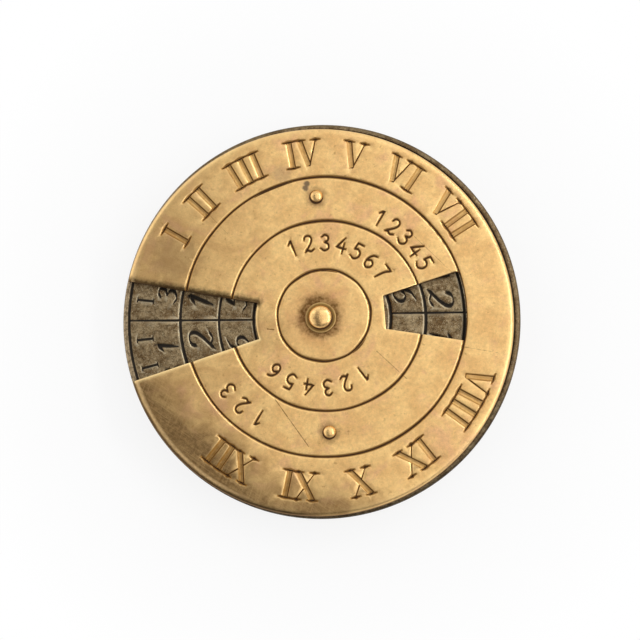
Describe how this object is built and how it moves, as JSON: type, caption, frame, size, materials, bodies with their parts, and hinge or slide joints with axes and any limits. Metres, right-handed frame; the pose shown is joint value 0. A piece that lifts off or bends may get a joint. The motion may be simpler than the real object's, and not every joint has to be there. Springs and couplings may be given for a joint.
{
  "type": "pocket perpetual calendar",
  "caption": "Round pocket perpetual calendar: an engraved silvered plate riveted between two turning gilt covers with windows and finger studs.",
  "frame": {"origin": "on the pivot's axis, level with the lowest point of the back, on which the calendar lies", "axes": "+Z along the pivot, out of the front cover; +Y to the top of the front, +X to its right"},
  "size_m": [0.04, 0.04, 0.0045],
  "materials": {
    "gilt_cover": "worn fire gilding on brass, with brown spots and fine scratches",
    "gilt_stud": "turned and burnished gilt brass, worn bright",
    "gilt_rivet": "burnished gilt brass dome",
    "gilt_washer": "flat gilt brass, bright at its edge",
    "silvered_plate": "silvered brass, tarnished grey-brown, with blackened engraving"
  },
  "bodies": {
    "plate": {"calendar_plate": "silvered_plate", "pivot_rivet": "gilt_rivet", "head_washer": "gilt_washer", "tail_washer": "gilt_washer"},
    "front_disc": {"front_cover": "gilt_cover", "upper_stud": "gilt_stud", "lower_stud": "gilt_stud"},
    "back_disc": {"back_cover": "gilt_cover", "back_right_stud": "gilt_stud", "back_left_stud": "gilt_stud"}
  },
  "joints": [
    {"name": "front_cover_turn", "type": "hinge", "parent": "plate", "child": "front_disc", "pos_m": [0, 0, 0.00314], "axis": [0, 0, 1], "continuous": true},
    {"name": "back_cover_turn", "type": "hinge", "parent": "plate", "child": "back_disc", "pos_m": [0, 0, 0.00108], "axis": [0, 0, 1], "continuous": true}
  ]
}
